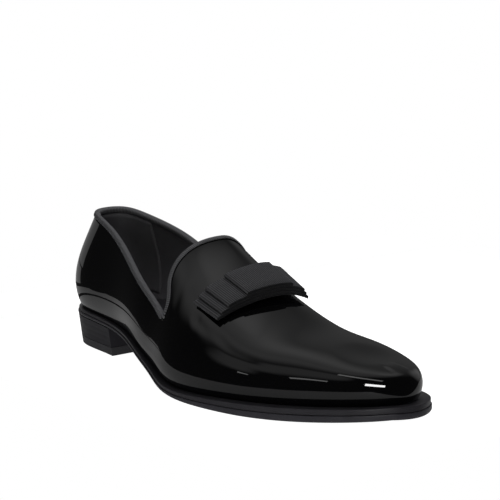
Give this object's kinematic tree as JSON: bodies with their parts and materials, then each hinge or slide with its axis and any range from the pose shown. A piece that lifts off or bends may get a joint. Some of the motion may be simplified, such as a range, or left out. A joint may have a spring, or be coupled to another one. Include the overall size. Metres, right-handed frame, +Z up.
{
  "type": "dress shoe",
  "caption": "Low formal slip-on shoe with a patent leather upper, bound collar, flat layered ribbon bow on the vamp, slim welted sole and low stacked heel.",
  "frame": {"origin": "middle of the shoe's footprint box, on the floor that the heel and the ball of the sole stand on", "axes": "+X from heel to toe, +Y towards the inner side of the foot, +Z up"},
  "size_m": [0.3122, 0.106, 0.09],
  "materials": {
    "patent_leather": "black patent, mirror gloss",
    "binding": "black corded tape, low sheen",
    "sock_lining": "black lining leather, satin",
    "welt_edge": "painted and waxed edge",
    "sole_leather": "painted sole leather, satin",
    "heel_stack": "painted stacked leather, satin",
    "heel_rubber": "moulded rubber, matt",
    "ribbon": "black ribbed silk ribbon, soft sheen"
  },
  "bodies": {
    "root": {"upper": "patent_leather", "topline_binding": "binding", "insole": "sock_lining", "welt": "welt_edge", "outsole": "sole_leather", "heel_block": "heel_stack", "heel_top_lift": "heel_rubber", "bow_loop_1": "ribbon", "bow_loop_2": "ribbon", "bow_loop_3": "ribbon", "bow_loop_4": "ribbon"}
  },
  "joints": []
}
